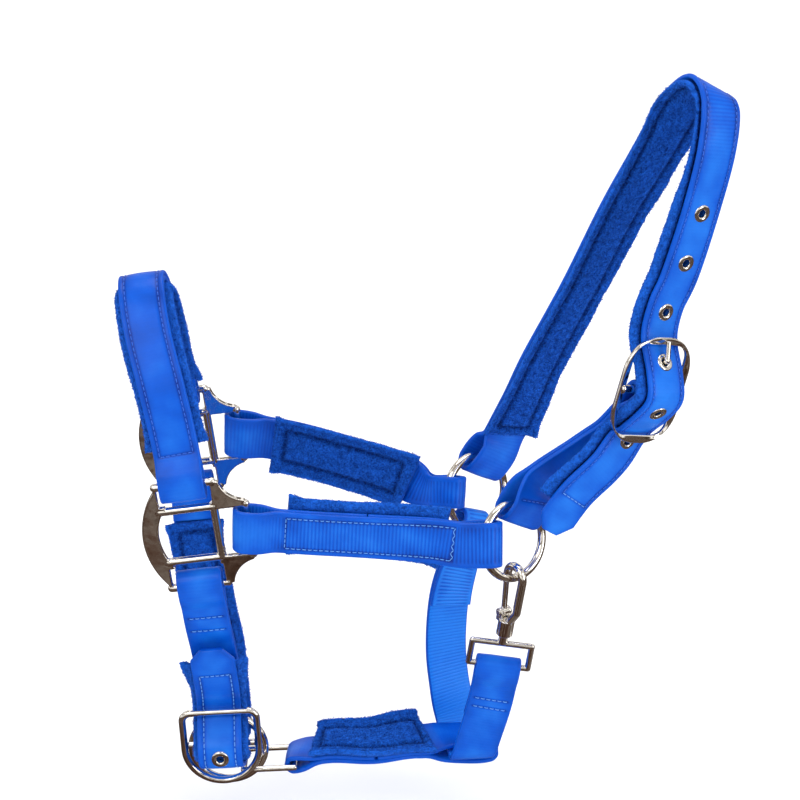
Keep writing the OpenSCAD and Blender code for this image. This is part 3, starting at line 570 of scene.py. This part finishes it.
# ---------------------------------------------------------------- fleece
def fleece(name, rail, lines, ends, seed, flare=(1.0, 1.0), curl=1.9, web=12.5 * MM):
    """A soft pile pad: rounded body, grooves where it is sewn through, and a lumpy nap."""
    length = rail.s[-1]
    n = int(length / (0.8 * MM))
    s = np.linspace(0, length, n + 1)
    tail = np.minimum(s, length - s)
    c, w, t, hw, ht = rail.at(s)
    m = 92
    ang = np.linspace(0, 2 * math.pi, 721)[:-1]
    p = 3.4
    ex = np.sign(np.cos(ang)) * np.abs(np.cos(ang)) ** (2 / p)
    ey = np.sign(np.sin(ang)) * np.abs(np.sin(ang)) ** (2 / p)
    d = np.concatenate([[0], np.cumsum(np.hypot(np.diff(ex * 17), np.diff(ey * 2.5)))])
    k = np.interp(np.linspace(0, d[-1], m + 1)[:-1], d, np.arange(720))
    ex, ey = np.interp(k, np.arange(720), ex), np.interp(k, np.arange(720), ey)
    slow = np.array([noise.noise(Vector((x / (28 * MM), seed * 3.3, 0))) for x in s])
    slow2 = np.array([noise.noise(Vector((x / (24 * MM), seed * 5.1, 9))) for x in s])
    lips = (flare[0] * np.exp(-(s / (6 * MM)) ** 2)
            + flare[1] * np.exp(-((length - s) / (6 * MM + 2.5 * MM * flare[1])) ** 2))
    wide = hw - 0.6 * MM + lips * MM
    body = 0.35 + 0.65 * np.sqrt(np.clip(1 - (1 - np.clip(tail / (2.2 * MM), 0, 1)) ** 2, 0, 1))
    v = ex[None] * wide[:, None] + (np.where(ex > 0, slow[:, None], slow2[:, None])) * 0.9 * MM * np.abs(ex)[None]
    h = ey[None] * (ht - 0.35 * MM)[:, None] * body[:, None]
    face = smooth(ey, 0.0, 0.7)[None]
    back = smooth(-ey, 0.0, 0.7)[None]
    groove = np.zeros_like(v)
    for a in lines:
        on = smooth(tail, ends - 2 * MM, ends)[:, None]
        groove = np.maximum(groove, near_line(v, a, 1.5 * MM) * on)
    inside = 1 - smooth(np.abs(v), max(np.abs(lines)), max(np.abs(lines)) + 2 * MM)
    groove = np.maximum(groove, near_line(tail, ends, 1.4 * MM)[:, None] * inside)
    h = h - (face - back) * groove * 1.7 * MM
    # between and outside the lines the pile stands up in soft rolls
    h = h - back * 0.7 * MM * (1 - groove)
    # the free border past the webbing's edge curls a little toward the webbing
    h = h + smooth(np.abs(v), web + 0.9 * MM, web + 3.6 * MM) * curl * MM
    pts = c[:, None] + w[:, None] * v[..., None] + t[:, None] * h[..., None]
    flat = pts.reshape(-1, 3)
    lump = speckle(flat, 3.4 * MM, seed) * 0.24 + speckle(flat, 1.3 * MM, seed + 5) * 0.30
    du = np.roll(pts, -1, 1) - np.roll(pts, 1, 1)
    ds = np.gradient(pts, axis=0)
    nor = unit(np.cross(du, ds))
    sign = np.sign((nor * (pts - c[:, None])).sum(-1).mean()) or 1
    pts = pts + sign * nor * (lump.reshape(v.shape) * (1 - 0.5 * back) * MM)[..., None]
    # painted shade darkens the sewn grooves, a painted highlight lightens the pad's rounded edges, and raised lumps
    # of pile are painted lighter
    shade = (0.58 - 0.38 * groove * (face + back) + 0.20 * smooth(np.abs(ex)[None] * np.ones_like(v), 0.86, 1.0)
             + 0.22 * lump.reshape(v.shape))
    build = Build()
    build.grid(pts, 0, shade=shade)
    o = build.done(name, [FLEECE])
    tufts(o, seed)
    return o


def tufts(o, seed):
    """Short curled fibres over the pile, so its edges read as cloth and not as a hard shape."""
    me = o.data
    rng = np.random.default_rng(seed)
    me.update()
    n = len(me.polygons)
    centre = np.empty(n * 3)
    normal = np.empty(n * 3)
    area = np.empty(n)
    me.polygons.foreach_get("center", centre)
    me.polygons.foreach_get("normal", normal)
    me.polygons.foreach_get("area", area)
    centre, normal = centre.reshape(-1, 3), normal.reshape(-1, 3)
    count = int(area[area < TUFT_AREA].sum() / (1.0 * MM) ** 2 * 1.8)
    light_level = np.empty(len(me.vertices))
    me.attributes["shade"].data.foreach_get("value", light_level)
    first = np.array([pl.vertices[0] for pl in me.polygons])
    pick = rng.integers(0, n, count)
    pick = pick[area[pick] < TUFT_AREA]
    p, q = centre[pick], normal[pick]
    lean = unit(q + rng.normal(0, 0.75, p.shape))
    side = unit(np.cross(lean, rng.normal(0, 1, p.shape)))
    size = rng.uniform(0.55, 1.05, len(p))[:, None] * MM
    base = 0.19 * MM
    p = p - q * 0.15 * MM + rng.normal(0, 0.25 * MM, p.shape)
    tip = p + lean * size
    mid = p + lean * size * 0.55 + side * 0.25 * size
    third = np.cross(side, lean)
    a = p + side * base
    b = p - side * base * 0.5 + third * base * 0.87
    c = p - side * base * 0.5 - third * base * 0.87
    d, e, f = (mid + side * base * 0.7, mid + (-side * 0.5 + third * 0.87) * base * 0.7,
               mid + (-side * 0.5 - third * 0.87) * base * 0.7)
    k = len(p)
    verts = np.stack([a, b, c, d, e, f, tip], 1).reshape(-1, 3)
    tri = [(0, 1, 4, 3), (1, 2, 5, 4), (2, 0, 3, 5), (3, 4, 6), (4, 5, 6), (5, 3, 6), (2, 1, 0)]
    old = len(me.vertices)
    co = np.empty(old * 3)
    me.vertices.foreach_get("co", co)
    faces = [tuple(pl.vertices) for pl in me.polygons]
    faces += [tuple(old + 7 * i + j for j in t) for i in range(k) for t in tri]
    mesh = bpy.data.meshes.new(me.name + "_nap")
    mesh.from_pydata([tuple(x) for x in np.vstack([co.reshape(-1, 3), verts])], [], faces)
    mesh.materials.append(FLEECE)
    # each fibre takes the pad's painted light and shade where it grows, with painted shade at its root and a painted
    # highlight at its tip
    more = light_level[first[pick]][:, None] + np.array([-0.1] * 3 + [0.04] * 3 + [0.16]) + rng.normal(0, 0.05, (k, 1))
    set_shade(mesh, np.clip(np.concatenate([light_level, more.ravel()]), 0, 1))
    mesh.polygons.foreach_set("use_smooth", [True] * len(mesh.polygons))
    mesh.update()
    o.data = mesh


# ---------------------------------------------------------------- metal
def cast(node, name, voxel=0.36, rounds=4, factor=0.5):
    """The CAD solid with its joins filleted and its edges eased, as a casting or bent wire has them."""
    src = NODES[node]
    o = bpy.data.objects.new(name, src.data.copy())
    bpy.context.scene.collection.objects.link(o)
    o.matrix_world = src.matrix_world.copy()
    bm = bmesh.new()
    bm.from_mesh(o.data)
    bmesh.ops.remove_doubles(bm, verts=bm.verts, dist=1e-6)
    bm.to_mesh(o.data)
    bm.free()
    r = o.modifiers.new("shape", "REMESH")
    r.mode = "VOXEL"
    r.voxel_size = voxel * MM
    r.use_smooth_shade = True
    k = o.modifiers.new("ease", "SMOOTH")
    k.factor = factor
    k.iterations = rounds
    dg = bpy.context.evaluated_depsgraph_get()
    me = bpy.data.meshes.new_from_object(o.evaluated_get(dg))
    o.modifiers.clear()
    o.data = me
    me.materials.clear()
    me.materials.append(NICKEL)
    me.polygons.foreach_set("use_smooth", [True] * len(me.polygons))
    return o


def islands(node):
    """(middle, axis) of each loose washer in a CAD node."""
    bm = bmesh.new()
    bm.from_mesh(NODES[node].data)
    bmesh.ops.remove_doubles(bm, verts=bm.verts, dist=1e-6)
    left, out = set(bm.verts), []
    while left:
        group, todo = set(), [left.pop()]
        while todo:
            v = todo.pop()
            group.add(v)
            for e in v.link_edges:
                o = e.other_vert(v)
                if o in left:
                    left.discard(o)
                    todo.append(o)
        p = np.array([v.co for v in group])
        m = p.mean(0)
        axis = np.linalg.svd(p - m)[2][2]
        out.append((m, axis))
    bm.free()
    return out


def eyelets(name, spots, half, bore=2.2, flange=5.0):
    """Rolled metal eyelets: a domed ring on each face and the barrel between them."""
    build = Build()
    prof = []
    for side in (1, -1):
        a = np.radians(np.linspace(0, 180, 9))
        mid, rad = (bore + flange) / 2, (flange - bore) / 2
        ring = [(mid + rad * math.cos(x), half + 0.05 + 0.85 * math.sin(x)) for x in a]
        prof += ring if side > 0 else [(r, -h) for r, h in ring[::-1]]
    prof = np.array(prof) * MM
    for p, axis in spots:
        u = unit(np.cross(axis, [0.3, 0.9, 0.2]))
        w = np.cross(axis, u)
        ang = np.linspace(0, 2 * math.pi, 41)[:-1]
        spoke = u[None] * np.cos(ang)[:, None] + w[None] * np.sin(ang)[:, None]
        pts = p + spoke[:, None] * prof[None, :, 0, None] + axis * prof[None, :, 1, None]
        pts = np.concatenate([pts, pts[:1]])
        build.grid(pts, 0, caps=False)
    return build.done(name, [NICKEL])


def rounded_box(ang, half_w, half_h, r):
    """Distance from the middle to the edge of a round-cornered oblong, in each direction."""
    out = []
    for a in ang:
        d = np.array([abs(math.cos(a)), abs(math.sin(a))])
        lo, hi = 0.0, half_w + half_h
        for _ in range(40):
            m = (lo + hi) / 2
            q = np.maximum(d * m - np.array([half_w - r, half_h - r]), 0)
            p = d * m
            inside = np.hypot(*q) <= r if (q > 0).all() else (p[0] <= half_w and p[1] <= half_h)
            lo, hi = (m, hi) if inside else (lo, m)
        out.append(lo)
    return np.array(out)


def buckle(node, name):
    """A cast frame: oval outside, nearly square window, its face sloping down to the window, and a centre bar."""
    bm = bmesh.new()
    bm.from_mesh(NODES[node].data)
    p = np.array([v.co for v in bm.verts])
    bm.free()
    # principal directions from the outline's own spread
    mid = p.mean(0)
    axes = np.linalg.svd(p - mid, full_matrices=False)[2]
    spans = [np.ptp((p - mid) @ a) for a in axes]
    order = np.argsort(spans)[::-1]
    u, w, n = axes[order[0]], axes[order[1]], axes[order[2]]
    mid = mid + sum(a * ((((p - mid) @ a).max() + ((p - mid) @ a).min()) / 2) for a in (u, w, n))
    if n[1] > 0:
        n = -n
    w = np.cross(n, u)
    half_u, half_w = np.ptp((p - mid) @ u) / 2, np.ptp((p - mid) @ w) / 2
    ang = np.linspace(0, 2 * math.pi, 145)[:-1]
    outer = rounded_box(ang, half_w - 0.2 * MM, half_u - 0.2 * MM, 20 * MM)
    inner = rounded_box(ang, half_w - 5.0 * MM, half_u - 5.0 * MM, 8 * MM)
    spoke = w[None] * np.cos(ang)[:, None] + u[None] * np.sin(ang)[:, None]
    # section from the inner edge over the sloping face to the outer edge and back under
    f = np.array([0.0, 0.03, 0.10, 0.22, 0.38, 0.55, 0.70, 0.82, 0.92, 0.98, 1.0, 0.97, 0.86, 0.60, 0.30, 0.10, 0.02])
    h = np.array([0.05, 0.42, 0.62, 0.80, 1.02, 1.26, 1.44, 1.50, 1.36, 0.98,
                  0.30, -0.60, -1.18, -1.40, -1.36, -1.10, -0.50]) * MM
    r = inner[:, None] * (1 - f)[None] + outer[:, None] * f[None]
    pts = mid + spoke[:, None] * r[..., None] + n * h[None, :, None]
    build = Build()
    build.grid(np.concatenate([pts, pts[:1]]), 0, caps=False)
    t = np.linspace(-1, 1, 25)
    bar = mid + w * (t * (half_w - 2.4 * MM))[:, None]
    rad = (2.2 - 0.12 * np.cos(t * math.pi) + 0.5 * smooth(np.abs(t), 0.86, 1.0)) * MM
    build.tube(bar, rad, 0, 28)
    return build.done(name, [NICKEL])


# ---------------------------------------------------------------- make the pieces
near_sq, far_sq = middle("near_cheek_square"), middle("far_cheek_square")
near_ring, far_ring = middle("near_ring"), middle("far_ring")
link = middle("jaw_link")
eye = middle("snap_swivel_eye")

R = {
    "nose": Rail("noseband_strap", near_sq),
    "near_cheek": Rail("near_cheek_strap", near_sq),
    "far_cheek": Rail("far_cheek_strap", far_sq),
    "crown": Rail("crown_strap", far_ring),
    "billet": Rail("crown_billet", near_ring),
    "throat": Rail("throat_strap", far_ring),
    "throat_near": Rail("throat_near_leg", eye),
    "chin": Rail("chin_strap", far_sq),
    "chin_billet": Rail("chin_billet", near_sq),
    "jaw": Rail("jaw_strap", link),
}
P = {
    "nose": Rail("noseband_fleece", near_sq, R["nose"]),
    "near_cheek": Rail("near_cheek_fleece", near_sq, R["near_cheek"]),
    "far_cheek": Rail("far_cheek_fleece", far_sq, R["far_cheek"]),
    "crown": Rail("crown_fleece", far_ring, R["crown"]),
    "chin": Rail("chin_fleece", far_sq, R["chin"]),
    "jaw": Rail("jaw_fleece", link, R["jaw"]),
}

crown_spots = islands("crown_eyelets")
chin_spots = islands("chin_eyelet")


def place(o, node, body):
    """Stands a finished piece in for its CAD node, on its body."""
    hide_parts(node)
    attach(o, body)


def plan_for(key):
    """Where the strap is sewn."""
    r = R[key]
    st = Stitching(r)
    a, b = r.a, r.b
    if key == "nose":
        st.rectangle(a + 22 * MM, b - 22 * MM, 3.4 * MM)
    elif key == "near_cheek":
        st.rectangle(a + 24 * MM, b - 22 * MM, 3.4 * MM, 2, 2, 1.3 * MM)
    elif key == "far_cheek":
        st.rectangle(a + 24 * MM, b - 22 * MM, 3.4 * MM)
    elif key == "crown":
        v, end = 9.6 * MM, r.s[-1]
        st.along(a + 9 * MM, end - 22 * MM, v)
        st.along(a + 9 * MM, end - 22 * MM, -v)
        st.over(a + 9 * MM, -v, v)
        st.over(end - 22 * MM, -v, v, 2)
    elif key == "billet":
        st.over(a + 12 * MM, -9 * MM, 9 * MM)
        st.over(b - 10 * MM, -9 * MM, 9 * MM)
    elif key == "throat":
        st.over(a + 16 * MM, -9.5 * MM, 9.5 * MM)
        st.over(a + 20 * MM, -9.5 * MM, 9.5 * MM)
    elif key == "throat_near":
        st.over(a + 25 * MM, -9.5 * MM, 9.5 * MM, 2)
        st.over(a + 31 * MM, -9.5 * MM, 9.5 * MM, 2)
    elif key == "chin":
        v, end = 8.6 * MM, r.s[-1]
        st.along(a + 10 * MM, end - 19 * MM, v, 2)
        st.along(a + 10 * MM, end - 19 * MM, -v, 2)
        st.over(a + 10 * MM, -v, v)
        st.over(end - 19 * MM, -v, v, 2)
    elif key == "chin_billet":
        st.over(a + 26 * MM, -9.5 * MM, 9.5 * MM, 2)
        st.over(a + 36 * MM, -9.5 * MM, 9.5 * MM, 2)
        st.over(b - 12 * MM, -9.5 * MM, 9.5 * MM)
    elif key == "jaw":
        st.rectangle(a + 8 * MM, b - 8 * MM, 3.4 * MM)
    return st


# node, rail, body, rib depth in mm (or a table of distance from the outer ply's start or end, depth), doming, eyelets
STRAPS = [
    ("noseband_strap", "nose", "noseband", 0.015, 0.35, ()),
    ("near_cheek_strap", "near_cheek", "halter", [(14, 0.06), (22, 0.22), (-26, 0.24), (-2, 0.34)], 0.10, ()),
    ("far_cheek_strap", "far_cheek", "halter", [(0, 0.12), (-20, 0.16), (-2, 0.22)], 0.10, ()),
    ("crown_strap", "crown", "crown",
     [(0, 0.05), (20, 0.02), (225, 0.02), (240, 0.14), (300, 0.14), (330, 0.02)], 0.30, crown_spots),
    ("crown_billet", "billet", "crown", 0.02, 0.15, ()),
    ("throat_strap", "throat", "halter", 0.34, 0.05, ()),
    ("throat_near_leg", "throat_near", "halter", 0.03, 0.15, ()),
    ("chin_strap", "chin", "halter", 0.015, 0.30, chin_spots),
    ("chin_billet", "chin_billet", "halter", [(0, 0.04), (12, 0.02), (-2, 0.02)], 0.20, ()),
    ("jaw_strap", "jaw", "halter", 0.02, 0.20, ()),
]
# painted light: some straps are drawn lighter or darker than the rest, as if they catch more or less of the light
STRAP_LIGHT = {"throat": 0.34, "near_cheek": 0.06, "nose": -0.08, "crown": 0.04}
for i, (node, key, body, ribs, puff, holes) in enumerate(STRAPS):
    o = strap(node + "_look", R[key], ribs, plan_for(key), holes, puff, i + 1, STRAP_LIGHT.get(key, 0.0))
    place(o, node, body)

# node, rail, body, distance of the end seams from the pad's ends in mm, flare at the two ends in mm
PADS = [
    ("noseband_fleece", "nose", "noseband", 7.0, (1.4, 1.4)),
    ("near_cheek_fleece", "near_cheek", "halter", 7.0, (2.0, 1.2)),
    ("far_cheek_fleece", "far_cheek", "halter", 7.0, (1.6, 1.6)),
    ("crown_fleece", "crown", "crown", 6.0, (2.0, 1.4)),
    ("chin_fleece", "chin", "halter", 6.0, (1.6, 3.8)),
    ("jaw_fleece", "jaw", "halter", 5.0, (1.4, 1.4)),
]
for i, (node, key, body, ends, flare) in enumerate(PADS):
    o = fleece(node + "_look", P[key], [-SEW_V, SEW_V], ends * MM, i + 2, flare)
    place(o, node, body)

# node, body, voxel in mm, rounds of smoothing
METAL = [
    ("near_cheek_square", "halter", 0.36, 5),
    ("far_cheek_square", "halter", 0.36, 5),
    ("near_ring", "near_ring", 0.3, 3),
    ("far_ring", "far_ring", 0.3, 3),
    ("lead_ring", "lead_ring", 0.3, 3),
    ("crown_buckle_frame", "crown", 0.3, 5),
    ("crown_buckle_tongue", "crown_tongue", 0.22, 4),
    ("snap_hook_body", "snap", 0.25, 4),
    ("snap_gate", "snap_gate", 0.2, 3),
    ("snap_gate_pin", "snap", 0.15, 2),
    ("snap_swivel_eye", "halter", 0.22, 4),
    ("chin_buckle_frame", "chin_frame", 0.25, 4),
    ("jaw_link", "jaw_link", 0.22, 4),
]
for node, body, voxel, rounds in METAL:
    if node == "crown_buckle_frame":
        o = buckle(node, node + "_look")
    else:
        o = cast(node, node + "_look", voxel, rounds)
    place(o, node, body)

place(eyelets("crown_eyelets_look", crown_spots, 1.4), "crown_eyelets", "crown")
place(eyelets("chin_eyelet_look", chin_spots, 1.4), "chin_eyelet", "halter")

# ---------------------------------------------------------------- studio
lo = np.array(cad_box[0])
FLOOR_DROP = 0.030
floor_z = float(lo[2]) - FLOOR_DROP
bpy.ops.mesh.primitive_plane_add(size=12, location=(0, 0, floor_z))
floor = bpy.context.active_object
floor.name = "floor"
fm, ft, fb = material("pale_floor", (0.93, 0.93, 0.93), 0.9)
# polished metal sees the floor as a dark bench, so its edges stay readable on white
path = ft.nodes.new("ShaderNodeLightPath")
bench = ft.nodes.new("ShaderNodeEmission")
spot = ft.nodes.new("ShaderNodeTexCoord")
grey = noise_node(ft, 7.0, 3, spot)
light_level = ramp(ft, grey.outputs["Fac"], [
    (0.38, (0.035, 0.018, 0.012)), (0.50, (0.085, 0.048, 0.034)), (0.55, (0.20, 0.165, 0.14)),
    (0.60, (0.050, 0.030, 0.022)), (0.68, (0.26, 0.23, 0.21))])
ft.links.new(light_level.outputs["Color"], bench.inputs["Color"])
pick = ft.nodes.new("ShaderNodeMixShader")
ft.links.new(path.outputs["Is Glossy Ray"], pick.inputs[0])
ft.links.new(fb.outputs[0], pick.inputs[1])
ft.links.new(bench.outputs[0], pick.inputs[2])
ft.links.new(pick.outputs[0], ft.nodes["Material Output"].inputs["Surface"])
# a little glow keeps the far floor as white as the near floor
fb.inputs["Emission Color"].default_value = (1, 1, 1, 1)
fb.inputs["Emission Strength"].default_value = 0.14
floor.data.materials.append(fm)


def card(name, at, to, w, h, power, color=(1, 1, 1)):
    li = bpy.data.lights.new(name, "AREA")
    li.shape = "RECTANGLE"
    li.size, li.size_y, li.energy, li.color = w, h, power, color
    ob = bpy.data.objects.new(name, li)
    bpy.context.scene.collection.objects.link(ob)
    ob.location = at
    ob.rotation_euler = (Vector(to) - Vector(at)).to_track_quat("-Z", "Y").to_euler()
    return ob


card("key", (-0.9, -1.3, 1.5), (0, 0, 0), 1.3, 1.3, 10.5)
card("fill", (1.5, -1.0, 0.6), (0, 0, 0), 0.5, 1.4, 8)
card("top", (0.1, 0.4, 1.9), (0, 0, 0), 1.4, 0.8, 13)

world = bpy.data.worlds.new("studio")
bpy.context.scene.world = world
world.use_nodes = True
wt = world.node_tree
bg = wt.nodes["Background"]
bg.inputs["Color"].default_value = (1, 1, 1, 1)
bg.inputs["Strength"].default_value = 0.84
tc = wt.nodes.new("ShaderNodeTexCoord")
sep = wt.nodes.new("ShaderNodeSeparateXYZ")
wt.links.new(tc.outputs["Generated"], sep.inputs[0])
patch = wt.nodes.new("ShaderNodeTexNoise")
patch.inputs["Scale"].default_value = 3.6
patch.inputs["Detail"].default_value = 2.5
wt.links.new(tc.outputs["Generated"], patch.inputs["Vector"])
add = wt.nodes.new("ShaderNodeMath")
add.operation = "MULTIPLY_ADD"
add.inputs[1].default_value = 0.55
wt.links.new(patch.outputs["Fac"], add.inputs[0])
lift = wt.nodes.new("ShaderNodeMath")
lift.operation = "MULTIPLY_ADD"
lift.inputs[1].default_value = 0.5
lift.inputs[2].default_value = 0.22
wt.links.new(sep.outputs["Z"], lift.inputs[0])
wt.links.new(lift.outputs[0], add.inputs[2])
# the sky that only the metal reflects: dark and bright patches, brighter upward
sky = ramp(wt, add.outputs[0], [
    (0.30, (0.02, 0.014, 0.010)), (0.46, (0.07, 0.05, 0.038)), (0.53, (0.85, 0.80, 0.74)),
    (0.60, (1.30, 1.27, 1.22)), (0.655, (0.10, 0.078, 0.060)), (0.72, (0.16, 0.13, 0.10)),
    (0.78, (1.25, 1.22, 1.18)), (0.92, (0.40, 0.36, 0.32))])
room = wt.nodes.new("ShaderNodeBackground")
wt.links.new(sky.outputs["Color"], room.inputs["Color"])
seen = wt.nodes.new("ShaderNodeLightPath")
swap = wt.nodes.new("ShaderNodeMixShader")
wt.links.new(seen.outputs["Is Glossy Ray"], swap.inputs[0])
wt.links.new(bg.outputs[0], swap.inputs[1])
wt.links.new(room.outputs[0], swap.inputs[2])
wt.links.new(swap.outputs[0], wt.nodes["World Output"].inputs["Surface"])

cam = bpy.data.cameras.new("camera")
cam.lens = 145.8
cam.sensor_width = 36
cam_ob = bpy.data.objects.new("camera", cam)
bpy.context.scene.collection.objects.link(cam_ob)
CAMERA_AT = 1.8             # metres from the target
CAMERA_TILT = math.radians(25)
target = Vector((-0.0116, 0.003, 0.0162))
cam_ob.location = target + Vector((0, -math.cos(CAMERA_TILT), math.sin(CAMERA_TILT))) * CAMERA_AT
cam_ob.rotation_euler = (target - cam_ob.location).to_track_quat("-Z", "Y").to_euler()
bpy.context.scene.camera = cam_ob
bpy.context.scene.view_settings.view_transform = "Standard"
